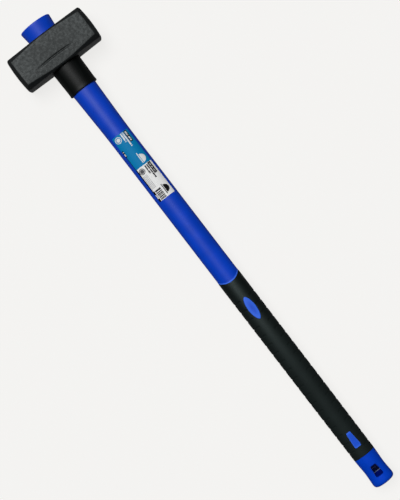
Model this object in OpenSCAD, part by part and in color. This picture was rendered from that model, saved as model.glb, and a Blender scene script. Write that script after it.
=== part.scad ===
// Long-handled sledge hammer lying on one cheek of its head.
// +X runs down the handle from the head to the butt, +Y along the head, +Z up.
// The origin is on the flat lower cheek, straight below the middle of the eye.

/* [Head] */
// Length of the head from striking face to striking face
head_l = 144; // [120:1:180]
// Width of the head measured along the handle
head_w = 56.5; // [50:0.5:70]
// Depth of the head from cheek to cheek
head_d = 56; // [52:1:70]
// Crown radius of each striking face
face_crown_r = 230; // [150:10:400]
// Rounding where a striking face meets the sides
face_edge_r = 4; // [2:0.5:6]
// Rounding of the four long edges
long_edge_r = 2; // [1:0.25:4]
// Width of each long bevel where it reaches a striking face
bevel_end = 8; // [5:0.5:12]
// Width of each long bevel half way along the head
bevel_mid = 2.5; // [0.5:0.25:4]
// Rounding round both mouths of the eye
eye_mouth = 1.5; // [0.5:0.25:3]
// Sweep radius of the forged crease on the upper cheek
crease_sweep_r = 280; // [100:5:400]
// Radius of the tool that leaves the crease
crease_tool_r = 1.6; // [1:0.1:3]
// Greatest depth of the crease
crease_depth = 0.8; // [0.3:0.1:1.2]
// Tilt of the crease tool, which lets the crease fade at both ends
crease_tilt = 15; // [8:1:25]
// Distance of the crease below the middle of the head
crease_x = 9; // [0:0.5:12]

/* [Handle jacket] */
// Overall length of the handle from the flared top to the butt
handle_l = 894; // [700:1:1100]
// Length of handle that stands out of the top of the head
stub_l = 23; // [15:1:40]
// Width of the plain shaft
shaft_w = 37.5; // [32:0.1:42]
// Depth of the plain shaft, which sets how oval the whole handle is
shaft_d = 30; // [26:0.1:34]
// Rise of the neck over the plain shaft, on each side
neck_rise = 2.05; // [1:0.05:4]
// Rise of the handle at the top of the head over the neck, on each side
eye_rise = 3.8; // [2:0.05:4.5]
// Rise of the flared top over the handle at the top of the head, on each side
flare_rise = 2.5; // [1.2:0.05:4]
// Distance from the neck to the plain shaft
taper_l = 77; // [50:1:110]
// Chamfer round the flared top
flare_edge = 1.6; // [0.5:0.1:3]
// Diameter of the mark that the core's locating pin leaves
pin_mark_d = 1.8; // [1:0.1:3]
// Distance of the pin mark below the neck
pin_mark_x = 32; // [10:1:60]
// Angle of the pin mark round the handle
pin_mark_turn = 35; // [0:1:60]

/* [Butt] */
// Length of the butt below the grip
butt_l = 54; // [48:0.5:80]
// Step down from the grip to the butt, on each side
butt_step = 0.1; // [0:0.05:1]
// Depth of the waist round the butt
butt_waist = 0.95; // [0.4:0.05:1.6]
// Distance of the waist's middle from the grip
butt_waist_x = 25; // [20:0.5:30]
// Half length of the waist
butt_waist_half = 23; // [18:0.5:25]
// Corner radius of the butt
butt_corner_r = 7.5; // [4:0.5:10]
// Distance of the hanging hole from the grip
hang_x = 19; // [12:0.5:24]
// Length of the hanging hole at the surface
hang_l = 19.7; // [14:0.1:22]
// Width of the hanging hole at its end nearer the grip
hang_w_top = 9.6; // [7:0.2:12]
// Width of the hanging hole at its end nearer the butt
hang_w_end = 12.8; // [9:0.2:16]
// Length of the hanging hole at mid depth, where it is pinched
hang_throat = 5.5; // [5:0.5:12]

/* [Handle core] */
// Thinnest cover of the jacket over the glass-fibre rod, above and below it
core_wall = 1.8; // [1:0.1:4]
// Cover of plastic over the rod's upper end
core_cover = 8; // [4:1:20]
// Distance that the rod runs past the end of the grip
core_past_grip = 4; // [0:0.5:7]

/* [Eye resin] */
// Thickness of the resin between the handle and the eye
resin_t = 1.0; // [0.5:0.1:2]
// Distance of the resin below the top of the head
resin_sink = 1.8; // [0.5:0.1:4]

/* [Collar] */
// Length of the collar below the head
collar_l = 47; // [30:1:60]
// Thickness of the collar against the head
collar_top_t = 2.1; // [1.5:0.1:4]
// Thickness of the collar at its lower rim
collar_rim_t = 3.3; // [2:0.1:5]
// Rounding of the lower rim
collar_rim_r = 1; // [0.3:0.1:2]
// Distance from the collar's rim to the start of the shaft's taper
neck_gap = 7; // [2:0.5:15]

/* [Grip] */
// Length of the grip along its sides
grip_l = 346; // [280:0.5:420]
// Step up from the shaft to the grip's top, on each side
grip_step = 0.4; // [0:0.05:1.5]
// Fall of the grip's side two thirds of the way down
grip_fall_mid = 0.25; // [0:0.05:1]
// Fall of the grip's side at its lower end
grip_fall_end = 0.75; // [0:0.05:1.5]
// Thickness of the grip over the jacket
grip_t = 3; // [2:0.1:3.5]
// Reach of the jacket's rounded lip into the grip
lip_reach = 8; // [4:0.5:12]
// Length of the lens-shaped window
lens_l = 40; // [30:0.5:60]
// Width of the lens-shaped window
lens_w = 13.6; // [10:0.2:18]
// Width of the lens at its blunt tips
lens_tip_w = 3.4; // [0.5:0.1:4]
// Distance of the lens from the top of the grip
lens_x = 39.5; // [20:0.5:60]
// Length of the wedge-shaped window
wedge_l = 27.7; // [20:0.2:40]
// Width of the wedge at its end nearer the head
wedge_w_top = 7.8; // [6:0.1:12]
// Width of the wedge at its end nearer the butt
wedge_w_end = 11.7; // [8:0.1:16]
// Distance of the wedge from the lower end of the grip
wedge_gap = 16.4; // [10:0.1:30]
// Height that both windows stand proud of the grip
window_proud = 0.3; // [0.1:0.05:0.6]
// Distance between neighbouring finger grooves along each flank
groove_pitch = 16.16; // [12:0.02:24]
// Distance of the first groove from the top of the grip
groove_x = 41; // [20:0.5:60]
// Least distance of the last groove from the lower end of the grip
groove_clear = 12; // [6:0.5:30]
// Radius of the groove's section
groove_r = 3; // [2:0.1:4]
// Depth of each groove
groove_depth = 0.55; // [0.2:0.05:0.8]
// Half width of the smooth band down the middle of the grip
smooth_half = 9; // [6:0.5:12]

/* [Labels] */
// Length of the upper label
label_upper_l = 60.8; // [40:0.2:80]
// Length of the lower label
label_lower_l = 60.8; // [40:0.2:80]
// Distance of the labels' long edges from the sides of the shaft
label_margin = 4.45; // [3:0.05:10]
// Sideways shift of both labels
label_shift = 0.6; // [-2:0.1:2]
// Distance of the upper label below the start of the plain shaft
label_x = 5.6; // [2:0.1:30]
// Thickness of the label film
label_t = 0.2; // [0.1:0.05:0.5]

/* [Hidden] */
$fn = 96;
drum_fn = 360;
EPS = 0.01;
REACH = 4;

steel = [0.20, 0.21, 0.21];
blue = [0.02, 0.18, 0.70];
rubber = [0.05, 0.06, 0.06];
cyan = [0.02, 0.45, 0.72];
paper = [0.90, 0.90, 0.90];
glass_fibre = [0.85, 0.78, 0.55];
resin = [0.75, 0.62, 0.35];

axis_z = head_d / 2;
oval = shaft_d / shaft_w;
neck_w = shaft_w + 2 * neck_rise;
eye_top_w = neck_w + 2 * eye_rise;
flare_w = eye_top_w + 2 * flare_rise;
grip_top_w = shaft_w + 2 * grip_step;
grip_mid_w = grip_top_w - 2 * grip_fall_mid;
grip_end_w = grip_top_w - 2 * grip_fall_end;
butt_w = grip_end_w - 2 * butt_step;
core_r = (grip_end_w / 2 - grip_t) * oval - core_wall;
label_w = shaft_w - 2 * label_margin;
groove_count = floor((grip_l - groove_x - groove_clear) / groove_pitch) + 1;
head_top_x = -head_w / 2;
stub_x = head_top_x - stub_l;
butt_x = stub_x + handle_l;
collar_rim_x = head_w / 2 + collar_l;
neck_x = collar_rim_x + neck_gap;
shaft_x = neck_x + taper_l;
grip_end_x = butt_x - butt_l;
grip_x = grip_end_x - grip_l;
grip_mid_x = grip_x + grip_l * 2 / 3;
core_x0 = stub_x + core_cover;
core_x1 = grip_end_x + core_past_grip;
label_x0 = shaft_x + label_x;
label_x1 = label_x0 + label_upper_l;
label_x2 = label_x1 + label_lower_l;
lip_r = (pow(shaft_w / 2, 2) + pow(lip_reach, 2)) / (2 * lip_reach);
bevel_sag = (bevel_end - bevel_mid) / sqrt(2);
bevel_drum_r = (pow(head_l / 2, 2) + pow(bevel_sag, 2)) / (2 * bevel_sag);
bevel_drum_x = (head_w / 2 + head_d / 2 - bevel_mid) / sqrt(2) - bevel_drum_r;
waist_r = (pow(butt_waist_half, 2) + pow(butt_waist, 2)) / (2 * butt_waist);
lens_rise = (lens_w - lens_tip_w) / 2;
lens_r = (pow(lens_l / 2, 2) + pow(lens_rise, 2)) / (2 * lens_rise);

// Half widths of the bare handle down to the grip, as [x, half width].
handle_line = [
    [stub_x, flare_w / 2],
    [head_top_x, eye_top_w / 2],
    [neck_x, neck_w / 2],
    [shaft_x, shaft_w / 2],
    [grip_x, shaft_w / 2],
    [grip_end_x, shaft_w / 2]
];

// Half widths of the grip's outside, as [x, half width].
grip_line = [
    [grip_x, grip_top_w / 2],
    [grip_mid_x, grip_mid_w / 2],
    [grip_end_x, grip_end_w / 2]
];

function handle_r(x) = lookup(x, handle_line);
function grip_r(x) = lookup(x, grip_line);
function flip(line) = [for (i = [len(line) - 1 : -1 : 0]) line[i]];
function outline(line, grow) = [for (p = line) [p[1] + grow, p[0]]];

// Turns a half profile, drawn as [half width, x], about the handle's axis and flattens it.
// It is made in an upper and a lower half, which meet on the mould's parting plane.
module oval_turned() {
    for (half = [0, 180])
        translate([0, 0, axis_z])
            scale([1, 1, oval])
                rotate([half, 0, 0])
                    rotate([0, 90, 0])
                        rotate([0, 0, 90])
                            rotate_extrude(angle = 180)
                                children();
}

// A tapered oval plug between two places on the handle's axis.
module oval_plug(x0, x1, r0, r1) {
    oval_turned()
        polygon([[0, x0], [r0, x0], [r1, x1], [0, x1]]);
}

// The room that the handle fills inside whatever is threaded over it, grown by a gap.
module handle_room(x0, x1, gap) {
    oval_plug(x0, x1, handle_r(x0) + gap, handle_r(x1) + gap);
}

module soft_rect(a, b, r) {
    square([a - 2 * r, b], center = true);
    square([a, b - 2 * r], center = true);
    for (sx = [-1, 1], sy = [-1, 1])
        translate([sx * (a / 2 - r), sy * (b / 2 - r)])
            circle(r = r);
}

// The forging before it is pierced: three crossed soft prisms, crowned and bevelled.
module head_blank() {
    translate([0, 0, axis_z])
        intersection() {
            linear_extrude(height = head_d, center = true)
                soft_rect(head_w, head_l, face_edge_r);
            rotate([0, 90, 0])
                linear_extrude(height = head_w, center = true)
                    soft_rect(head_d, head_l, face_edge_r);
            rotate([90, 0, 0])
                linear_extrude(height = head_l, center = true)
                    soft_rect(head_w, head_d, long_edge_r);
            for (side = [-1, 1])
                translate([0, side * (head_l / 2 - face_crown_r), 0])
                    sphere(r = face_crown_r, $fn = drum_fn);
        }
}

// A drum whose skin is one long bevel, deepest at the faces and nearly gone over the eye.
module bevel_drum(turn) {
    translate([0, 0, axis_z])
        rotate([0, turn, 0])
            translate([bevel_drum_x, 0, 0])
                cylinder(r = bevel_drum_r, h = 2 * (head_w + head_d), center = true, $fn = drum_fn);
}

// A thin ring tilted so that it only bites the cheek at the middle of its sweep.
module crease_cut() {
    translate([crease_x, 0, head_d - crease_depth])
        rotate([0, -crease_tilt, 0])
            translate([crease_sweep_r, 0, crease_tool_r])
                rotate_extrude($fn = drum_fn)
                    translate([crease_sweep_r, 0])
                        circle(r = crease_tool_r, $fn = 32);
}

module head() {
    color(steel)
        difference() {
            intersection() {
                head_blank();
                bevel_drum(45);
                bevel_drum(135);
                bevel_drum(225);
                bevel_drum(315);
            }
            handle_room(head_top_x - REACH, head_w / 2 + REACH, resin_t);
            oval_plug(head_top_x - EPS, head_top_x + eye_mouth,
                handle_r(head_top_x) + resin_t + eye_mouth,
                handle_r(head_top_x + eye_mouth) + resin_t);
            crease_cut();
        }
}

module eye_resin() {
    color(resin)
        difference() {
            handle_room(head_top_x + resin_sink, head_w / 2, resin_t);
            handle_room(head_top_x, head_w / 2 + REACH, 0);
        }
}

module core_rod() {
    translate([core_x0, 0, axis_z])
        rotate([0, 90, 0])
            cylinder(h = core_x1 - core_x0, r = core_r);
}

module handle_core() {
    color(glass_fibre)
        core_rod();
}

// Half profile of the jacket, with the grip's seat sunk into it.
module jacket_profile() {
    polygon(concat(
        [[0, stub_x], [flare_w / 2 - flare_edge, stub_x]],
        [[handle_r(stub_x + flare_edge), stub_x + flare_edge]],
        [[eye_top_w / 2, head_top_x], [neck_w / 2, neck_x]],
        [[shaft_w / 2, shaft_x], [shaft_w / 2, grip_x]],
        outline(grip_line, -grip_t),
        [[0, grip_end_x]]));
}

// Half profile of the butt: a shallow waist and one generous corner.
module butt_profile() {
    difference() {
        union() {
            translate([0, grip_end_x - EPS])
                square([butt_w / 2, butt_l - butt_corner_r + EPS]);
            translate([0, grip_end_x])
                square([butt_w / 2 - butt_corner_r, butt_l]);
            translate([butt_w / 2 - butt_corner_r, butt_x - butt_corner_r])
                circle(r = butt_corner_r);
        }
        translate([butt_w / 2 - butt_waist + waist_r, grip_end_x + butt_waist_x])
            circle(r = waist_r, $fn = drum_fn);
    }
}

module lip_drum() {
    translate([grip_x + lip_reach - lip_r, 0, -REACH])
        cylinder(r = lip_r, h = head_d + 2 * REACH);
}

module jacket_lip() {
    intersection() {
        oval_turned()
            translate([0, grip_x - EPS])
                square([shaft_w / 2, lip_reach + REACH]);
        lip_drum();
    }
}

module lens_outline() {
    translate([grip_x + lens_x + lens_l / 2, 0])
        intersection() {
            square([lens_l, lens_w], center = true);
            translate([0, lens_w / 2 - lens_r])
                circle(r = lens_r, $fn = 180);
            translate([0, lens_r - lens_w / 2])
                circle(r = lens_r, $fn = 180);
        }
}

module wedge_outline() {
    x0 = grip_end_x - wedge_gap - wedge_l;
    x1 = grip_end_x - wedge_gap;
    polygon([
        [x0, -wedge_w_top / 2], [x1, -wedge_w_end / 2],
        [x1, wedge_w_end / 2], [x0, wedge_w_top / 2]]);
}

// Both windows, from the handle's axis up through the grip.
module window_posts() {
    translate([0, 0, axis_z])
        linear_extrude(height = grip_top_w) {
            lens_outline();
            wedge_outline();
        }
}

module window_bosses() {
    intersection() {
        window_posts();
        oval_turned()
            polygon(concat(
                [[0, grip_x], [0, grip_end_x]],
                outline(flip(grip_line), window_proud)));
    }
}

// The hanging hole: a wedge seen from above, pinched at mid depth seen from the side.
module hang_hole() {
    x0 = grip_end_x + hang_x;
    x1 = x0 + hang_l;
    lean = (hang_l - hang_throat) / 2;
    half = butt_w * oval / 2;
    intersection() {
        linear_extrude(height = head_d)
            polygon([
                [x0, -hang_w_top / 2], [x1, -hang_w_end / 2],
                [x1, hang_w_end / 2], [x0, hang_w_top / 2]]);
        translate([0, 0, axis_z])
            rotate([90, 0, 0])
                linear_extrude(height = butt_w, center = true)
                    polygon([
                        [x0, half + REACH], [x0, half], [x0 + lean, 0],
                        [x0, -half], [x0, -half - REACH],
                        [x1, -half - REACH], [x1, -half], [x1 - lean, 0],
                        [x1, half], [x1, half + REACH]]);
    }
}

module pin_mark() {
    translate([neck_x + pin_mark_x, 0, axis_z])
        rotate([pin_mark_turn, 0, 0])
            cylinder(d = pin_mark_d, h = neck_w);
}

module handle_jacket() {
    color(blue)
        difference() {
            union() {
                oval_turned() {
                    jacket_profile();
                    butt_profile();
                }
                jacket_lip();
                window_bosses();
            }
            core_rod();
            hang_hole();
            pin_mark();
        }
}

module collar() {
    color(rubber)
        difference() {
            oval_turned()
                polygon([
                    [0, head_w / 2], [handle_r(head_w / 2) + collar_top_t, head_w / 2],
                    [handle_r(collar_rim_x) + collar_rim_t, collar_rim_x - collar_rim_r],
                    [handle_r(collar_rim_x) + collar_rim_t - collar_rim_r, collar_rim_x],
                    [0, collar_rim_x]]);
            handle_room(head_w / 2 - REACH, collar_rim_x + REACH, 0);
        }
}

// One finger groove: a ring, kept only on the two flanks.
module flank_groove(x) {
    intersection() {
        translate([0, 0, axis_z])
            scale([1, 1, oval])
                rotate([0, 90, 0])
                    rotate_extrude()
                        translate([grip_r(x) + groove_r - groove_depth, x])
                            circle(r = groove_r, $fn = 32);
        for (side = [-1, 1])
            translate([x - groove_r, side * (smooth_half + grip_top_w / 2) - grip_top_w / 2, 0])
                cube([2 * groove_r, grip_top_w, head_d]);
    }
}

module grip() {
    color(rubber)
        difference() {
            oval_turned()
                polygon(concat(outline(grip_line, 0), outline(flip(grip_line), -grip_t)));
            lip_drum();
            window_posts();
            for (i = [0 : groove_count - 1])
                flank_groove(grip_x + groove_x + i * groove_pitch);
        }
}

// A label: a thin skin on the shaft, trimmed to a rectangle seen from above.
module label_skin(x0, x1) {
    intersection() {
        difference() {
            oval_turned()
                translate([0, x0])
                    square([shaft_w / 2 + label_t, x1 - x0]);
            handle_room(x0 - REACH, x1 + REACH, 0);
        }
        translate([x0 - REACH, label_shift - label_w / 2, axis_z])
            cube([x1 - x0 + 2 * REACH, label_w, head_d]);
    }
}

module label_upper() {
    color(cyan)
        label_skin(label_x0, label_x1);
}

module label_lower() {
    color(paper)
        label_skin(label_x1, label_x2);
}

head();
eye_resin();
handle_core();
handle_jacket();
collar();
grip();
label_upper();
label_lower();
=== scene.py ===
"""A long-handled sledge hammer lying on one cheek of its head: +X runs down the handle, +Y along the head."""
import math

import bmesh
import bpy
from mathutils import Matrix, Vector


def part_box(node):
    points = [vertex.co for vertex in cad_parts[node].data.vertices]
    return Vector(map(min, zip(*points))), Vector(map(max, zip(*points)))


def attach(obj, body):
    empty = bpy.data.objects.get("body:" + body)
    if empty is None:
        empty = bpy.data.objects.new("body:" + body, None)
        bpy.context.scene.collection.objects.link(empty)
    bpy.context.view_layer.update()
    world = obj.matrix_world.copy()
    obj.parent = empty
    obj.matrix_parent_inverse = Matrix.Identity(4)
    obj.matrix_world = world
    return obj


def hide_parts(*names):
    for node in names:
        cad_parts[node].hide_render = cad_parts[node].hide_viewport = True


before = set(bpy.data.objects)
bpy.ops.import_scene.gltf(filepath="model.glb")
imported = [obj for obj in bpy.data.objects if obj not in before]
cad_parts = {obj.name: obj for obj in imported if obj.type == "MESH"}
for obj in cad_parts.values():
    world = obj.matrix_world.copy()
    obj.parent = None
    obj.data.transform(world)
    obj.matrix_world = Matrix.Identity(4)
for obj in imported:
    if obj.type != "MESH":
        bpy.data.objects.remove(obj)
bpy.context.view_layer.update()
mm = 0.001


# ------------------------------------------------------------------ Handle core
# A pultruded rod of glass fibre in resin, with its fibres running down the handle. The jacket is
# moulded round it, so it keeps its CAD solid and stays out of sight.
core_low, core_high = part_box("handle_core")
axis_z = (core_low.z + core_high.z) / 2
core_r = (core_high.z - core_low.z) / 2


class Wire:
    """A node's socket that can be used in sums: each operator adds its Math node."""

    def __init__(self, socket):
        self.socket = socket

    def math(self, operation, *values):
        node = self.socket.id_data.nodes.new("ShaderNodeMath")
        node.operation = operation
        for slot, value in zip(node.inputs, values):
            feed(slot, value)
        return Wire(node.outputs[0])

    def __add__(self, other):
        return self.math("ADD", self, other)

    def __sub__(self, other):
        return self.math("SUBTRACT", self, other)

    def __rsub__(self, other):
        return self.math("SUBTRACT", other, self)

    def __mul__(self, other):
        return self.math("MULTIPLY", self, other)

    def __truediv__(self, other):
        return self.math("DIVIDE", self, other)

    def __pow__(self, other):
        return self.math("POWER", self, other)

    def __lt__(self, other):
        return self.math("LESS_THAN", self, other)

    def __gt__(self, other):
        return self.math("GREATER_THAN", self, other)

    def __abs__(self):
        return self.math("ABSOLUTE", self)

    __radd__ = __add__
    __rmul__ = __mul__


def feed(slot, value):
    """Links a wire to a socket, or sets the socket to a number or colour."""
    if isinstance(value, Wire):
        slot.id_data.links.new(value.socket, slot)
    else:
        slot.default_value = value


class Finish:
    """A material in the making. add() puts in one node and gives back the wire that it feeds."""

    def __init__(self, name):
        self.material = bpy.data.materials.new(name)
        self.material.use_nodes = True
        self.tree = self.material.node_tree
        self.shader = self.tree.nodes["Principled BSDF"]

    def add(self, kind, settings=None, inputs=None, output=None):
        node = self.tree.nodes.new("ShaderNode" + kind)
        for key, value in (settings or {}).items():
            setattr(node, key, value)
        for key, value in (inputs or {}).items():
            feed(self.named(node.inputs, key), value)
        return Wire(self.named(node.outputs, output) if output else node.outputs[0])

    def named(self, sockets, key):
        return next(s for s in sockets if key in (s.identifier, s.name))

    def place(self, stretch=(1, 1, 1)):
        """The object's own coordinates in metres, stretched."""
        raw = self.add("TexCoord", output="Object")
        return self.add("Mapping", inputs={"Vector": raw, "Scale": stretch})

    def split(self, where):
        """The three coordinates of a place."""
        return [self.add("SeparateXYZ", inputs={"Vector": where}, output=axis) for axis in "XYZ"]

    def noise(self, where, scale, detail=2.0, roughness=0.5):
        return self.add("TexNoise", inputs={
            "Vector": where, "Scale": scale, "Detail": detail, "Roughness": roughness})

    def step(self, value, low, high):
        """Rises smoothly from 0 at low to 1 at high."""
        return self.add("MapRange", {"interpolation_type": "SMOOTHSTEP"}, {
            "Value": value, "From Min": low, "From Max": high}, "Result")

    def mix(self, factor, first, second):
        return self.add("Mix", {"data_type": "RGBA"}, {
            "Factor_Float": factor, "A_Color": first, "B_Color": second}, "Result_Color")

    def bump(self, height, distance, strength=1.0, under=None):
        inputs = {"Height": height, "Distance": distance, "Strength": strength}
        if under:
            inputs["Normal"] = under
        return self.add("Bump", inputs=inputs)

    def coat(self, **values):
        """Sets the shader's own sockets, by name with underscores for spaces."""
        for key, value in values.items():
            feed(self.shader.inputs[key.replace("_", " ")], value)
        return self.material


def dressed(node, material):
    """Gives a CAD node that stays in the scene its material."""
    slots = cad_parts[node].data.materials
    slots.clear()
    slots.append(material)


rod = Finish("pultruded_glass_fibre")
strands = rod.noise(rod.place((6, 900, 900)), 1.0, 3)
knots = rod.noise(rod.place((40, 300, 300)), 1.0, 2)
colour = rod.mix(rod.step(strands, 0.35, 0.7), (0.44, 0.36, 0.16, 1), (0.72, 0.66, 0.42, 1))
dressed("handle_core", rod.coat(
    Base_Color=rod.mix(rod.step(knots, 0.62, 0.7) * 0.3, colour, (0.85, 0.82, 0.7, 1)),
    Roughness=0.35 + strands * 0.25, Normal=rod.bump(strands, 0.05 * mm, 0.6)))


# ------------------------------------------------------------------ Handle jacket
# Blue polypropylene, moulded round the rod in one shot: flared top, neck, plain oval shaft, the sunk
# seat for the grip with two raised windows, and the waisted butt with its pinched hanging hole. The
# jacket and the grip are drawn a shade fuller than their CAD solids.
jacket_low, jacket_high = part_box("handle_jacket")
head_low, head_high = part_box("head")
collar_low, collar_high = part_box("collar")
grip_low, grip_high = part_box("grip")
oval = 0.8
turn_steps = 128
jacket_fuller = 0.3 * mm
grip_fuller = 0.2 * mm
flare_rise = 2.5 * mm
eye_rise = 3.8 * mm
neck_rise = 2.05 * mm
flare_half = jacket_high.y + jacket_fuller
eye_half = flare_half - flare_rise
neck_half = eye_half - eye_rise
shaft_half = neck_half - neck_rise
flare_soft = 2.6 * mm
neck_x = collar_high.x + 7 * mm
shaft_x = neck_x + 77 * mm
lip_reach = 8 * mm
lip_r = (shaft_half ** 2 + lip_reach ** 2) / (2 * lip_reach)
lip_bead = 0.25 * mm
grip_x = grip_low.x
grip_end_x = grip_high.x
grip_mid_x = grip_x + (grip_end_x - grip_x) * 2 / 3
grip_top_half = grip_high.y + grip_fuller
grip_mid_half = grip_top_half - 0.25 * mm
grip_end_half = grip_top_half - 0.75 * mm
grip_t = 3 * mm
butt_x = jacket_high.x
butt_half = grip_end_half - 0.1 * mm
butt_round = 7.5 * mm
waist_x = grip_end_x + 26 * mm
waist_reach = 25 * mm
waist_depth = 1.0 * mm
lens_x = grip_x + 59.5 * mm
lens_half_l = 20.6 * mm
lens_half_w = 6.8 * mm
wedge_x0 = grip_end_x - 44.1 * mm
wedge_x1 = grip_end_x - 16.4 * mm
wedge_half_top = 3.9 * mm
wedge_half_end = 5.85 * mm
window_proud = 0.3 * mm
window_root = 3.6 * mm
window_round = 0.55 * mm
hole_x0 = grip_end_x + 19 * mm
hole_x1 = hole_x0 + 20.4 * mm
hole_half_top = 4.8 * mm
hole_half_end = 6.7 * mm
hole_lean = 7.1 * mm
hole_flare = 0.7 * mm
mark_x = neck_x + 32 * mm
mark_turn = math.radians(35)


def ease(value, low, high):
    """Rises smoothly from 0 at low to 1 at high."""
    t = min(max((value - low) / (high - low), 0), 1)
    return t * t * (3 - 2 * t)


def rounded(corners, arc=6):
    """A line through corners given as (x, radius, softness), with each corner eased over its softness."""
    line = []
    for place, (x, r, soft) in enumerate(corners):
        here = Vector((x, r))
        if soft == 0:
            line.append(here)
            continue
        before = (Vector(corners[place - 1][:2]) - here).normalized() * soft
        after = (Vector(corners[(place + 1) % len(corners)][:2]) - here).normalized() * soft
        for k in range(arc + 1):
            t = k / arc
            line.append(here + before * (1 - t) ** 2 + after * t ** 2)
    return line


def spaced(line, pitch):
    """The same line with its long spans cut to the pitch or less."""
    full = line[:1]
    for start, end in zip(line, line[1:]):
        parts = max(1, math.ceil((end - start).length / pitch))
        full += [start.lerp(end, k / parts) for k in range(1, parts + 1)]
    return full


def turned(line, closed=False):
    """Spins a line of (x, radius) once round the handle's axis and flattens it to the oval."""
    bm = bmesh.new()
    verts = [bm.verts.new((x, r, 0)) for x, r in line]
    pairs = list(zip(verts, verts[1:]))
    if closed:
        pairs.append((verts[-1], verts[0]))
    edges = [bm.edges.new(pair) for pair in pairs]
    bmesh.ops.spin(
        bm, geom=verts + edges, cent=(0, 0, 0), axis=(1, 0, 0), dvec=(0, 0, 0),
        angle=math.tau, steps=turn_steps, use_merge=True, use_duplicate=False)
    bmesh.ops.remove_doubles(bm, verts=bm.verts, dist=0.001 * mm)
    bmesh.ops.scale(bm, verts=bm.verts, vec=(1, 1, oval))
    bmesh.ops.translate(bm, verts=bm.verts, vec=(0, 0, axis_z))
    return bm


def scoop(y):
    """How far the jacket's rounded lip reaches into the grip, at a distance from its middle."""
    return lip_reach - lip_r + math.sqrt(lip_r ** 2 - min(abs(y), shaft_half) ** 2)


def grip_half(x):
    """Half width of the grip's outside."""
    if x < grip_mid_x:
        return grip_top_half + (grip_mid_half - grip_top_half) * (x - grip_x) / (grip_mid_x - grip_x)
    return grip_mid_half + (grip_end_half - grip_mid_half) * (x - grip_mid_x) / (grip_end_x - grip_mid_x)


def over_grip(x, y):
    """Height of the grip's upper skin."""
    return axis_z + oval * math.sqrt(grip_half(x) ** 2 - y ** 2)


def lens(inset):
    """Plan of the lens-shaped window, drawn in from its edge."""
    for k in range(120):
        c = math.cos(k * math.tau / 120)
        s = math.sin(k * math.tau / 120)
        yield (lens_x + (lens_half_l - 1.5 * inset) * c,
               (lens_half_w - inset) * math.copysign(abs(s) ** 1.2, s))


def tapered(x0, x1, half0, half1, inset):
    """Plan of a wedge with softly rounded corners, drawn in from its edge."""
    for k in range(96):
        c = math.cos(k * math.tau / 96)
        s = math.sin(k * math.tau / 96)
        reach = (abs(c) ** 9 + abs(s) ** 9) ** (-1 / 9)
        half = half0 + (half1 - half0) * (c * reach + 1) / 2
        yield ((x0 + x1) / 2 + ((x1 - x0) / 2 - inset) * c * reach, (half - inset) * s * reach)


def wedge(inset):
    return tapered(wedge_x0, wedge_x1, wedge_half_top, wedge_half_end, inset)


def stacked(rings):
    """A closed solid made of rings of points, joined one to the next and capped."""
    bm = bmesh.new()
    loops = []
    for ring in rings:
        verts = [bm.verts.new(point) for point in ring]
        loops.append([bm.edges.new(pair) for pair in zip(verts, verts[1:] + verts[:1])])
    for low, high in zip(loops, loops[1:]):
        bmesh.ops.bridge_loops(bm, edges=low + high)
    bmesh.ops.holes_fill(bm, edges=bm.edges)
    bmesh.ops.recalc_face_normals(bm, faces=bm.faces)
    return bm


def window(plan, half_width):
    """A raised window: a post with a soft rim, whose top follows the grip's skin."""
    steps = [(0, window_root), (0, window_round)]
    for k in range(1, 6):
        turn = k * math.pi / 10
        steps.append((window_round * (1 - math.cos(turn)), window_round * (1 - math.sin(turn))))
    flat = [window_round + (half_width - window_round) * k / 6 for k in range(1, 6)]
    steps += [(inset, 0) for inset in flat]
    return stacked([
        [(x, y, over_grip(x, y) + window_proud - drop) for x, y in plan(inset)]
        for inset, drop in steps])


def hanging_hole():
    """The tool for the hole: a wedge in plan that is pinched half way through and flared at both mouths."""
    rings = []
    for level, flare in ((-1.2, 1.6), (-1, 1), (-0.975, 0.45), (-0.93, 0.1), (-0.88, 0), (-0.5, 0), (0, 0),
                         (0.5, 0), (0.88, 0), (0.93, 0.1), (0.975, 0.45), (1, 1), (1.2, 1.6)):
        lean = hole_lean * max(0, 1 - abs(level)) - hole_flare * flare
        plan = tapered(hole_x0 + lean, hole_x1 - lean, hole_half_top, hole_half_end, 0)
        grow = 1 + hole_flare * flare / hole_half_end
        rings.append([
            (x, y * grow, axis_z + level * oval * math.sqrt(butt_half ** 2 - y ** 2)) for x, y in plan])
    return stacked(rings)


def rod_and_mark():
    """The tool for the room that the rod fills and for the little pin mark at the neck."""
    bm = bmesh.new()
    rod_place = Matrix.Translation(((core_low.x + core_high.x) / 2, 0, axis_z)) @ Matrix.Rotation(
        math.pi / 2, 4, "Y")
    bmesh.ops.create_cone(
        bm, cap_ends=True, segments=64, radius1=core_r, radius2=core_r,
        depth=core_high.x - core_low.x, matrix=rod_place)
    mark_place = Matrix.Translation((mark_x, 0, axis_z)) @ Matrix.Rotation(
        mark_turn, 4, "X") @ Matrix.Translation((0, 0, neck_half))
    bmesh.ops.create_cone(
        bm, cap_ends=True, segments=32, radius1=0.6 * mm, radius2=1.2 * mm, depth=9 * mm,
        matrix=mark_place)
    return bm


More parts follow.
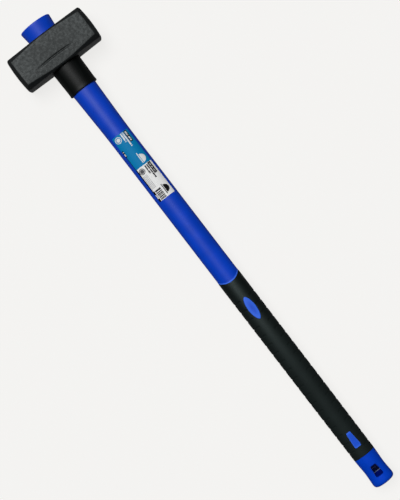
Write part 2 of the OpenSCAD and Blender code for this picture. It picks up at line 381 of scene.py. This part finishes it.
def finished(name, bm, material, cad_node, sharp=35, tools=()):
    """Turns a bmesh, cut and joined by its tools, into a piece that stands for a CAD node."""
    bmesh.ops.recalc_face_normals(bm, faces=bm.faces)
    mesh = bpy.data.meshes.new(name)
    bm.to_mesh(mesh)
    bm.free()
    piece = bpy.data.objects.new(name, mesh)
    bpy.context.scene.collection.objects.link(piece)
    for operation, tool_bm in tools:
        tool_mesh = bpy.data.meshes.new("tool")
        tool_bm.to_mesh(tool_mesh)
        tool_bm.free()
        tool = bpy.data.objects.new("tool", tool_mesh)
        bpy.context.scene.collection.objects.link(tool)
        cut = piece.modifiers.new("cut", "BOOLEAN")
        cut.operation = operation
        cut.solver = "EXACT"
        cut.object = tool
        state = piece.evaluated_get(bpy.context.evaluated_depsgraph_get())
        piece.data = bpy.data.meshes.new_from_object(state)
        piece.modifiers.clear()
        bpy.data.objects.remove(tool)
    piece.data.shade_smooth()
    piece.data.set_sharp_from_angle(angle=math.radians(sharp))
    piece.data.materials.clear()
    piece.data.materials.append(material)
    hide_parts(cad_node)
    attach(piece, "root")


plastic = Finish("blue_polypropylene")
where = plastic.place()
x, y, z = plastic.split(where)
cloud = plastic.noise(where, 45, 3)
flow = plastic.noise(plastic.place((14, 160, 160)), 1.0, 3)
pores = plastic.noise(where, 1600, 2, 0.6)
scuffs = plastic.noise(plastic.place((500, 90, 90)), 1.0, 4, 0.7)
blue = plastic.mix(plastic.step(cloud * 0.6 + flow * 0.4, 0.35, 0.65),
                   (0.0002, 0.044, 0.48, 1), (0.0006, 0.051, 0.55, 1))
in_grip = (x > grip_x + 20 * mm) * (x < grip_end_x)
gloss = 1 - plastic.step(x, shaft_x - 60 * mm, grip_x) * 0.45
gloss = gloss * (1 - plastic.step(x, grip_mid_x, grip_end_x))
# Painted highlights: the raised windows are painted a lighter blue, most towards their rims, and so is a
# narrow band of the jacket just before its lip, for the light these edges catch.
lens_edge = abs((x - lens_x) / lens_half_l) ** 2 + abs(y / lens_half_w) ** 1.667
wedge_l = wedge_x1 - wedge_x0
wedge_half = wedge_half_top + (x - wedge_x0) * ((wedge_half_end - wedge_half_top) / wedge_l)
wedge_edge = abs((x - wedge_x0 - wedge_l / 2) / (wedge_l / 2)) ** 9 + abs(y / wedge_half) ** 9
near_lens = plastic.step(lens_edge, -0.6, 0.9) * (x < grip_mid_x)
near_wedge = plastic.step(wedge_edge, -0.4, 0.6) * (x > grip_mid_x)
lip_line = x - (grip_x + lip_reach - lip_r) - (lip_r ** 2 - y * y) ** 0.5
near_lip = plastic.step(lip_line, -2.8 * mm, -1.0 * mm) * (1 - plastic.step(lip_line, -0.2 * mm, 0.3 * mm))
# The painted highlight's lighter blue is mixed in here over the windows and the lip band.
rim_highlight = plastic.mix(
    (near_lens + near_wedge) * in_grip * 0.62 + near_lip * 0.8, blue, (0.06, 0.20, 0.95, 1))
# Painted shade: inside the hanging hole the wall is painted nearly black navy, fading in from 0.3 mm to 2 mm
# below the skin.
in_hole = (x > hole_x0 - 1 * mm) * (x < hole_x1 + 1 * mm) * (abs(y) < hole_half_end + 0.5 * mm)
depth = oval * (butt_half ** 2 - y * y) ** 0.5 - abs(z - axis_z)
sunk = plastic.step(depth, 0.3 * mm, 2 * mm) * in_hole
# Painted highlight: the pinched middle of the hanging hole is painted as a pale blue line.
ridge = (1 - plastic.step(abs(z - axis_z), 0.4 * mm, 1.2 * mm)) * in_hole
# The hole's painted shade is mixed into the blue here.
dark = plastic.mix(sunk, rim_highlight, (0.0, 0.006, 0.14, 1))
pinched = plastic.mix(ridge * 0.8, dark, (0.30, 0.40, 0.60, 1))
dusty = plastic.mix(plastic.step(scuffs, 0.62, 0.78) * 0.10, pinched, (0.05, 0.14, 0.60, 1))
skin = plastic.bump(pores, 0.02 * mm, 0.5, plastic.bump(flow, 0.12 * mm, 0.35))
plastic.coat(
    Base_Color=dusty, Normal=skin, Specular_IOR_Level=0.05,
    Roughness=0.50 + cloud * 0.10 + plastic.step(scuffs, 0.6, 0.8) * 0.1,
    Coat_Weight=gloss * (0.43 - plastic.step(scuffs, 0.55, 0.8) * 0.13), Coat_Roughness=0.42)

corners = [
    (jacket_low.x, 0, 0), (jacket_low.x, flare_half, flare_soft), (head_low.x, eye_half, 4 * mm),
    (neck_x, neck_half, 9 * mm), (shaft_x, shaft_half, 24 * mm),
    (grip_x - 3.2 * mm, shaft_half, 1.2 * mm), (grip_x - 1.2 * mm, shaft_half + lip_bead, 0.6 * mm),
    (grip_x, shaft_half + lip_bead, 0.7 * mm), (grip_x, grip_top_half - grip_t, 0.3 * mm),
    (grip_mid_x, grip_mid_half - grip_t, 0), (grip_end_x, grip_end_half - grip_t, 0.3 * mm),
    (grip_end_x, butt_half, 0.5 * mm), (butt_x, butt_half, butt_round), (butt_x, 0, 0)]
line = spaced(rounded(corners, 8), 2.5 * mm)
for point in line:
    away = abs(point.x - waist_x) / waist_reach
    if away < 1 and point.y > butt_half - 2 * mm:
        point.y -= waist_depth * (1 + math.cos(away * math.pi)) / 2
bm = turned(line)
for v in bm.verts:
    hold = ease(v.co.x, grip_x - 18 * mm, grip_x - 3 * mm)
    hold *= 1 - ease(v.co.x, grip_x + 1 * mm, grip_x + 30 * mm)
    v.co.x += hold * scoop(v.co.y)
finished(
    "moulded_jacket", bm, plastic.material, "handle_jacket", 40,
    [("UNION", window(lens, lens_half_w)), ("UNION", window(wedge, wedge_half_top)),
     ("DIFFERENCE", hanging_hole()), ("DIFFERENCE", rod_and_mark())])


# ------------------------------------------------------------------ Grip
# Black soft-touch rubber, moulded on over the jacket's seat. It ends square at the butt and is scooped
# round the jacket's lip. Shallow finger grooves run down both flanks, and its skin is finely grained.
groove_x = grip_x + 41 * mm
groove_pitch = 16.16 * mm
groove_count = 19
groove_half = 1.9 * mm
groove_depth = 0.6 * mm
flank_from = 8.2 * mm
flank_full = 10 * mm
seat_gap = 0.04 * mm
grip_step = 2.4 * mm

rubber = Finish("soft_touch_rubber")
where = rubber.place()
x, y, z = rubber.split(where)
grain = rubber.noise(where, 1300, 3, 0.6)
patches = rubber.noise(where, 55, 3)
streaks = rubber.noise(rubber.place((25, 400, 400)), 1.0, 3)
black = rubber.mix(rubber.step(patches * 0.6 + streaks * 0.4, 0.35, 0.65),
                   (0.0006, 0.0018, 0.0016, 1), (0.0016, 0.0036, 0.0033, 1))
flank = rubber.step(abs(y), 3 * mm, 15 * mm)
matt = rubber.step(x, grip_x, grip_mid_x)
rubber.coat(
    Base_Color=black, Roughness=0.38 + grain * 0.22 + flank * 0.04 + matt * 0.26,
    Normal=rubber.bump(grain, 0.10 * mm, 0.8, rubber.bump(patches, 0.3 * mm, 0.3)),
    Specular_IOR_Level=0.34, Specular_Tint=(0.80, 1.0, 0.98, 1))

last = grip_x + 2 * mm
line = rounded([
    (grip_x + 1 * mm, grip_top_half - grip_t + seat_gap, 0),
    (grip_x + 0.15 * mm, grip_top_half - grip_t + seat_gap, 0.2 * mm),
    (grip_x + 0.15 * mm, grip_top_half, 0.9 * mm), (last, grip_half(last), 0)], 6)
for k in range(groove_count):
    middle = groove_x + k * groove_pitch
    for offset in (-2.4, -1.9, -1.4, -0.95, -0.5, 0, 0.5, 0.95, 1.4, 1.9, 2.4):
        station = middle + offset * mm
        while station - last > 3 * mm:
            last += grip_step
            line.append(Vector((last, grip_half(last))))
        line.append(Vector((station, grip_half(station))))
        last = station
while grip_end_x - last > 4 * mm:
    last += grip_step
    line.append(Vector((last, grip_half(last))))
line += rounded([
    (grip_end_x - 2 * mm, grip_half(grip_end_x - 2 * mm), 0), (grip_end_x, grip_end_half, 0.7 * mm),
    (grip_end_x, grip_end_half - grip_t + seat_gap, 0)], 6)
line += spaced([
    Vector((grip_end_x, grip_end_half - grip_t + seat_gap)),
    Vector((grip_mid_x, grip_mid_half - grip_t + seat_gap)),
    Vector((grip_x + 1 * mm, grip_top_half - grip_t + seat_gap))], 6 * mm)[1:-1]
bm = turned(line, closed=True)
for v in bm.verts:
    radius = math.hypot(v.co.y, (v.co.z - axis_z) / oval)
    if radius > grip_end_half - 1 * mm:
        from_first = (v.co.x - groove_x) / groove_pitch
        nearest = min(max(round(from_first), 0), groove_count - 1)
        away = (v.co.x - groove_x - nearest * groove_pitch) / groove_half
        dip = groove_depth * max(0, 1 - away ** 2) * ease(abs(v.co.y), flank_from, flank_full)
        v.co.y *= 1 - dip / radius
        v.co.z = axis_z + (v.co.z - axis_z) * (1 - dip / radius)
    v.co.x += scoop(v.co.y) * (1 - ease(v.co.x, grip_x + 1.5 * mm, grip_x + 30 * mm))
cuts = [
    ("DIFFERENCE", stacked([[(px, py, level) for px, py in plan(-0.12 * mm)]
                            for level in (axis_z + 5 * mm, axis_z + 25 * mm)]))
    for plan in (lens, wedge)]
finished("soft_grip", bm, rubber.material, "grip", 40, cuts)


# ------------------------------------------------------------------ Head
# The head is forged in a closed die and lacquered charcoal. It is square over the eye and turns
# octagonal towards both faces, because its four long bevels run out. It slides on from the butt
# end, and the handle's flare holds it. It is drawn a shade wider than its CAD solid.
head_mid = (head_low + head_high) / 2
head_fuller = 0.6 * mm
head_half = (head_high - head_low) / 2 + Vector((head_fuller, 0, 0))
head_cuts = (119, 119, 51)
edge_round = 3.6 * mm
bevel_mid = 0.9 * mm
bevel_end = 7.9 * mm
bevel_soft = 1.2 * mm
bevel_start = 0.1
face_bevel = 5.4 * mm
face_soft = 2 * mm
face_crown = 230 * mm
crease_at = 10.2 * mm
crease_shift = 4 * mm
crease_sweep = 280 * mm
crease_reach = 36 * mm
crease_width = 1.4 * mm
crease_depth = 1.1 * mm
swell_width = 9 * mm
swell_height = 0.45 * mm
resin_ring = 0.7 * mm
eye_mouth = 1.6 * mm


def forged(point):
    """Takes a point on the raw block's skin to its place on the forging."""
    inner = Vector(min(max(c, edge_round - h), h - edge_round) for c, h in zip(point, head_half))
    point = inner + (point - inner).normalized() * edge_round
    x, y, z = point
    along = abs(y) / head_half.y
    run = min(1, math.hypot(along, bevel_start) - bevel_start)
    leg = bevel_mid + (bevel_end - bevel_mid) * (1 - (1 - run) ** 1.3)
    over = abs(x) + abs(z) - (head_half.x + head_half.z - leg)
    cut = (over + math.hypot(over, bevel_soft)) / 4
    x -= math.copysign(min(cut, abs(x)), x)
    z -= math.copysign(min(cut, abs(z)), z)
    over = abs(y) + abs(z) - (head_half.y + head_half.z - face_bevel)
    cut = (over + math.hypot(over, face_soft)) / 4
    y -= math.copysign(min(cut, abs(y)), y)
    z -= math.copysign(min(cut, abs(z)), z)
    sag = (x * x + z * z) / (2 * face_crown)
    y -= math.copysign(sag * ease(along, 0.85, 1), y)
    if z > 0.8 * head_half.z:
        across = y + crease_shift
        line = crease_at + crease_sweep - math.sqrt(crease_sweep ** 2 - across ** 2)
        fade = max(0, 1 - (across / crease_reach) ** 2)
        away = x - line
        z -= crease_depth * fade * math.exp(-(away / crease_width) ** 2)
        if away > 0:
            z += swell_height * fade * math.exp(-(away / swell_width) ** 2) * ease(away, 0, 2 * mm)
    return Vector((x, y, z))


def block(half, cuts):
    """A box cut into a grid that is closer towards its edges."""
    bm = bmesh.new()
    bmesh.ops.create_cube(bm, size=2)
    for axis in range(3):
        along = [e for e in bm.edges if abs((e.verts[0].co - e.verts[1].co)[axis]) > 0.1]
        bmesh.ops.subdivide_edges(bm, edges=along, cuts=cuts[axis], use_grid_fill=True)
    for v in bm.verts:
        v.co = Vector(h * math.sin(c * math.pi / 2) for c, h in zip(v.co, half))
    return bm


lacquer = Finish("charcoal_lacquer")
where = lacquer.place()
grit = lacquer.noise(where, 900, 3, 0.6)
mottle = lacquer.noise(where, 230, 4, 0.6)
pooling = lacquer.noise(where, 28, 2)
blotch = lacquer.step(grit * 0.25 + mottle * 0.55 + pooling * 0.2, 0.42, 0.58)
colour = lacquer.mix(blotch, (0.0030, 0.0037, 0.0039, 1), (0.0078, 0.0094, 0.0098, 1))
lumps = lacquer.bump(pooling, 0.6 * mm, 0.5)
peel = lacquer.bump(mottle, 0.35 * mm, 0.9, lumps)
speckle = lacquer.bump(grit, 0.06 * mm, 0.7, peel)
lacquer.coat(
    Base_Color=colour, Roughness=0.54 - blotch * 0.11 + grit * 0.06, Normal=speckle,
    Specular_IOR_Level=0.38, Specular_Tint=(0.93, 1.0, 1.0, 1))

bm = block(head_half, head_cuts)
for v in bm.verts:
    v.co = forged(v.co) + head_mid
eye_line = [
    (head_low.x - 4 * mm, 0, 0), (head_low.x - 4 * mm, eye_half + resin_ring + eye_mouth + 4 * mm, 0),
    (head_low.x + eye_mouth, eye_half + resin_ring, 2.4 * mm),
    (neck_x, neck_half + resin_ring, 0), (neck_x, 0, 0)]
finished("forged_head", bm, lacquer.material, "head", 50,
         [("DIFFERENCE", turned(rounded(eye_line, 8)))])


# ------------------------------------------------------------------ Eye resin
# Casting resin, poured between the handle and the eye. It is the clear amber ring that shows round
# the handle on top of the head, a little below the eye's rounded mouth.
resin = Finish("amber_casting_resin")
where = resin.place()
wisps = resin.noise(where, 240, 3)
specks = resin.noise(where, 1100, 2)
colour = resin.mix(resin.step(wisps, 0.3, 0.7), (0.30, 0.16, 0.035, 1), (0.52, 0.33, 0.10, 1))
dressed("eye_resin", resin.coat(
    Base_Color=colour, Roughness=0.22 + specks * 0.2, Normal=resin.bump(wisps, 0.15 * mm, 0.5),
    Coat_Weight=0.5))


# ------------------------------------------------------------------ Collar
# A black rubber sleeve that is pushed up the neck against the head and guards it from overstrikes.
# It follows the neck's taper and ends in a thicker rolled rim.
collar_top_half = eye_half + (neck_half - eye_half) * (head_high.x - head_low.x) / (neck_x - head_low.x)
collar_rim_half = eye_half + (neck_half - eye_half) * (collar_high.x - head_low.x) / (neck_x - head_low.x)
collar_gap = 0.04 * mm
collar_x = collar_low.x + head_fuller
collar_top_t = 2.4 * mm
collar_body_t = 3.1 * mm
collar_rim_t = 3.5 * mm

sleeve = Finish("collar_rubber")
where = sleeve.place()
grain = sleeve.noise(where, 1000, 3, 0.6)
drawn = sleeve.noise(sleeve.place((30, 260, 260)), 1.0, 3)
rings = sleeve.noise(sleeve.place((420, 20, 20)), 1.0, 2)
black = sleeve.mix(sleeve.step(drawn, 0.35, 0.65), (0.0008, 0.0014, 0.0013, 1), (0.002, 0.003, 0.0028, 1))
sleeve.coat(
    Base_Color=black, Roughness=0.38 + grain * 0.16, Specular_IOR_Level=0.165,
    Normal=sleeve.bump(grain, 0.04 * mm, 0.5, sleeve.bump(rings, 0.12 * mm, 0.4)))

line = rounded([
    (collar_x, collar_top_half + collar_gap, 0.3 * mm),
    (collar_x, collar_top_half + collar_top_t, 0.8 * mm),
    (collar_high.x - 5 * mm, collar_rim_half + collar_body_t, 2 * mm),
    (collar_high.x - 2.2 * mm, collar_rim_half + collar_rim_t, 1 * mm),
    (collar_high.x, collar_rim_half + collar_rim_t, 1 * mm),
    (collar_high.x, collar_rim_half + collar_gap, 0.3 * mm)], 6)
line = spaced(line + line[:1], 2.5 * mm)[:-1]
finished("sleeve_collar", turned(line, closed=True), sleeve.material, "collar", 40)


# ------------------------------------------------------------------ Labels
# Two printed film labels, stuck one after the other on the shaft: a cyan one with white print and a
# white one with dark print. The print is plain bars, blocks and rounds that spell nothing.
film_t = 0.2 * mm
film_round = 0.6 * mm
cyan_low, cyan_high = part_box("label_upper")
white_low, white_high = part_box("label_lower")


def film(low, high):
    """A thin closed skin on the shaft between two corners of its plan."""
    bm = bmesh.new()
    bmesh.ops.create_grid(bm, x_segments=60, y_segments=40, size=1)
    middle = (low + high) / 2
    half = (high - low) / 2
    for v in bm.verts:
        x = v.co.x * half.x
        y = v.co.y * half.y
        over_x = max(abs(x) - half.x + film_round, 0)
        over_y = max(abs(y) - half.y + film_round, 0)
        if over_x and over_y:
            pull = min(1, film_round / math.hypot(over_x, over_y))
            x = math.copysign(half.x - film_round + over_x * pull, x)
            y = math.copysign(half.y - film_round + over_y * pull, y)
        x += middle.x
        y += middle.y
        v.co = Vector((x, y, axis_z + oval * math.sqrt(shaft_half ** 2 - y * y) + film_t))
    bmesh.ops.solidify(bm, geom=bm.faces, thickness=-film_t * 0.97)
    return bm


class Print:
    """The print of one label, in millimetres along it and down from its upper edge."""

    def __init__(self, name, low, high, paper):
        self.finish = Finish(name)
        self.where = self.finish.place()
        x, y, z = self.finish.split(self.where)
        self.along = (x - low.x) / mm
        self.down = (high.y - y) / mm
        self.words = self.finish.noise(self.finish.place((900, 130, 0)), 1.0, 1)
        self.stripes = self.finish.noise(self.finish.place((760, 0, 0)), 1.0, 0)
        fade = self.finish.noise(self.where, 90, 2)
        faded = (paper[0] * 0.8, paper[1] * 0.86, paper[2] * 0.9, 1)
        self.colour = self.finish.mix(fade * 0.25, paper, faded)

    def block(self, a0, a1, d0, d1, soft=0.25):
        """A plain block between two places along the label and two places down it."""
        f = self.finish
        across = f.step(self.along, a0 - soft, a0) * (1 - f.step(self.along, a1, a1 + soft))
        return across * f.step(self.down, d0 - soft, d0) * (1 - f.step(self.down, d1, d1 + soft))

    def bars(self, a0, a1, d0, d1, gap=0.44):
        """A block broken into uneven upright bars."""
        return self.block(a0, a1, d0, d1) * self.finish.step(self.words, gap - 0.04, gap + 0.04)

    def code(self, a0, a1, d0, d1):
        """A block of plain upright stripes of uneven width."""
        return self.block(a0, a1, d0, d1) * self.finish.step(self.stripes, 0.43, 0.48)

    def disc(self, a, d, r):
        away = ((self.along - a) ** 2 + (self.down - d) ** 2) ** 0.5
        return 1 - self.finish.step(away, r, r + 0.3)

    def ink(self, mask, colour):
        self.colour = self.finish.mix(mask, self.colour, colour)

    def done(self):
        f = self.finish
        tooth = f.noise(self.where, 1400, 2)
        creep = f.noise(self.where, 70, 3)
        return f.coat(
            Base_Color=self.colour, Roughness=0.50 + tooth * 0.15, Specular_IOR_Level=0.12,
            Normal=f.bump(tooth, 0.015 * mm, 0.4, f.bump(creep, 0.12 * mm, 0.3)))


black_ink = (0.004, 0.004, 0.005, 1)
dark_ink = (0.05, 0.05, 0.055, 1)
white_ink = (0.72, 0.74, 0.75, 1)
cyan = Print("cyan_label", cyan_low, cyan_high, (0.0, 0.195, 0.44, 1))
cyan.ink(cyan.block(0.7, 20.3, 2.8, 7.4), black_ink)
cyan.ink(cyan.bars(2.2, 18.6, 4.1, 6.1), white_ink)
cyan.ink(cyan.bars(1.4, 26.5, 8.5, 10.6, 0.40), white_ink)
cyan.ink(cyan.bars(1.4, 16.5, 12.0, 14.1, 0.40), white_ink)
cyan.ink(cyan.disc(7.6, 21.8, 5.2) * (1 - cyan.disc(7.6, 21.8, 4.2)) + cyan.disc(7.6, 21.8, 2.9), white_ink)
cyan.ink(cyan.disc(50.5, 10.2, 7.0) * (cyan.down < 10.2) + cyan.block(39.5, 57.8, 11.2, 12.3), white_ink)
cyan.ink(cyan.block(24.5, 35.8, 25.9, 32), black_ink)
cyan.ink(cyan.bars(26.2, 34.0, 26.5, 27.8), white_ink)
cyan.ink(cyan.block(35.8, 61.0, 27.6, 32) * 0.8, black_ink)

pale = Print("white_label", white_low, white_high, (0.84, 0.84, 0.83, 1))
pale.ink(pale.block(0.5, 20.5, 2.5, 7.2), black_ink)
pale.ink(pale.bars(2.0, 18.8, 4.0, 5.8, 0.5), (0.42, 0.42, 0.42, 1))
pale.ink(pale.bars(2.0, 26.8, 8.2, 10.3, 0.36), dark_ink)
pale.ink(pale.bars(2.0, 16.6, 11.8, 13.9, 0.36), dark_ink)
pale.ink(pale.disc(7.2, 21.8, 5.0), (0.09, 0.09, 0.10, 1))
pale.ink(pale.disc(7.2, 21.8, 3.9) * (1 - pale.disc(7.2, 21.8, 2.9)), (0.5, 0.5, 0.5, 1))
for level in (18.9, 21.0, 23.1, 25.2):
    pale.ink(pale.bars(14.6, 38.6, level, level + 0.6, 0.36) * 0.7, (0.16, 0.16, 0.17, 1))
pale.ink(pale.disc(48.6, 9.2, 6.8) * (pale.down < 9.2), black_ink)
pale.ink(pale.bars(39.4, 57.2, 10.0, 11.2, 0.3), dark_ink)
pale.ink(pale.code(42.6, 59.6, 14.4, 24.4), (0.02, 0.02, 0.022, 1))
pale.ink(pale.block(42.4, 61.2, 25.6, 32), black_ink)
pale.ink(pale.block(0, 42.4, 27.0, 32), black_ink)
pale.ink(pale.bars(48.2, 55.6, 26.3, 27.6), white_ink)

finished("cyan_film", film(cyan_low, cyan_high), cyan.done(), "label_upper")
finished("white_film", film(white_low, white_high), pale.done(), "label_lower")


# ------------------------------------------------------------------ Studio
# A pale floor that glows evenly, but for a soft shade painted into its glow right under the handle,
# and one broad overhead light. The pieces see a dimmer sheet in its place, so that their edges stay dark.
# The camera looks straight down.
floor_bm = bmesh.new()
bmesh.ops.create_grid(floor_bm, x_segments=1, y_segments=1, size=6)
floor_mesh = bpy.data.meshes.new("floor")
floor_bm.to_mesh(floor_mesh)
floor_bm.free()
floor = bpy.data.objects.new("floor", floor_mesh)
bpy.context.scene.collection.objects.link(floor)
paper = Finish("studio_floor")
x, y, z = paper.split(paper.place())
# Painted shade: a soft strip right under the handle is painted into the floor's glow and colour, half dark
# along the handle and fully dark under the hanging hole, so the hole shows dark through its middle.
under = (1 - paper.step(abs(y), 7.5 * mm, 15 * mm)) * paper.step(x, 40 * mm, 90 * mm)
under = under * (1 - paper.step(x, butt_x - 14 * mm, butt_x))
under = under * (0.5 + paper.step(x, wedge_x0, hole_x0) * 0.5)
floor_mesh.materials.append(paper.coat(
    Base_Color=paper.mix(under, (0.10, 0.10, 0.10, 1), (0.01, 0.01, 0.01, 1)), Roughness=0.95,
    Specular_IOR_Level=0.0, Emission_Strength=0.815,
    Emission_Color=paper.mix(under, (1.0, 0.991, 0.972, 1), (0.001, 0.002, 0.02, 1))))
floor.visible_glossy = False
floor.visible_diffuse = False
sheen_mesh = floor_mesh.copy()
sheen = bpy.data.objects.new("table_sheen", sheen_mesh)
sheen.location.z = -0.5 * mm
sheen.visible_camera = False
bpy.context.scene.collection.objects.link(sheen)
dim = Finish("table_sheen")
sheen_mesh.materials.clear()
sheen_mesh.materials.append(dim.coat(
    Base_Color=(0, 0, 0, 1), Roughness=1.0, Specular_IOR_Level=0.0,
    Emission_Color=(1, 1, 1, 1), Emission_Strength=0.21))

sun = bpy.data.lights.new("soft_overhead", "SUN")
sun.energy = 2.9
sun.angle = math.radians(36)
sun_object = bpy.data.objects.new("soft_overhead", sun)
sun_object.rotation_euler = (math.radians(6), math.radians(-21), 0)
bpy.context.scene.collection.objects.link(sun_object)
world = bpy.data.worlds.new("studio_air")
world.use_nodes = True
world.node_tree.nodes["Background"].inputs["Color"].default_value = (1, 1, 1, 1)
world.node_tree.nodes["Background"].inputs["Strength"].default_value = 0.04
bpy.context.scene.world = world
bpy.context.scene.view_settings.view_transform = "Standard"

camera_data = bpy.data.cameras.new("camera")
camera_data.lens = 111.4
camera = bpy.data.objects.new("camera", camera_data)
camera.location = (0.3827, -0.0095, axis_z + 2.4)
camera.rotation_euler = (0, 0, math.radians(52.52))
bpy.context.scene.collection.objects.link(camera)
bpy.context.scene.camera = camera
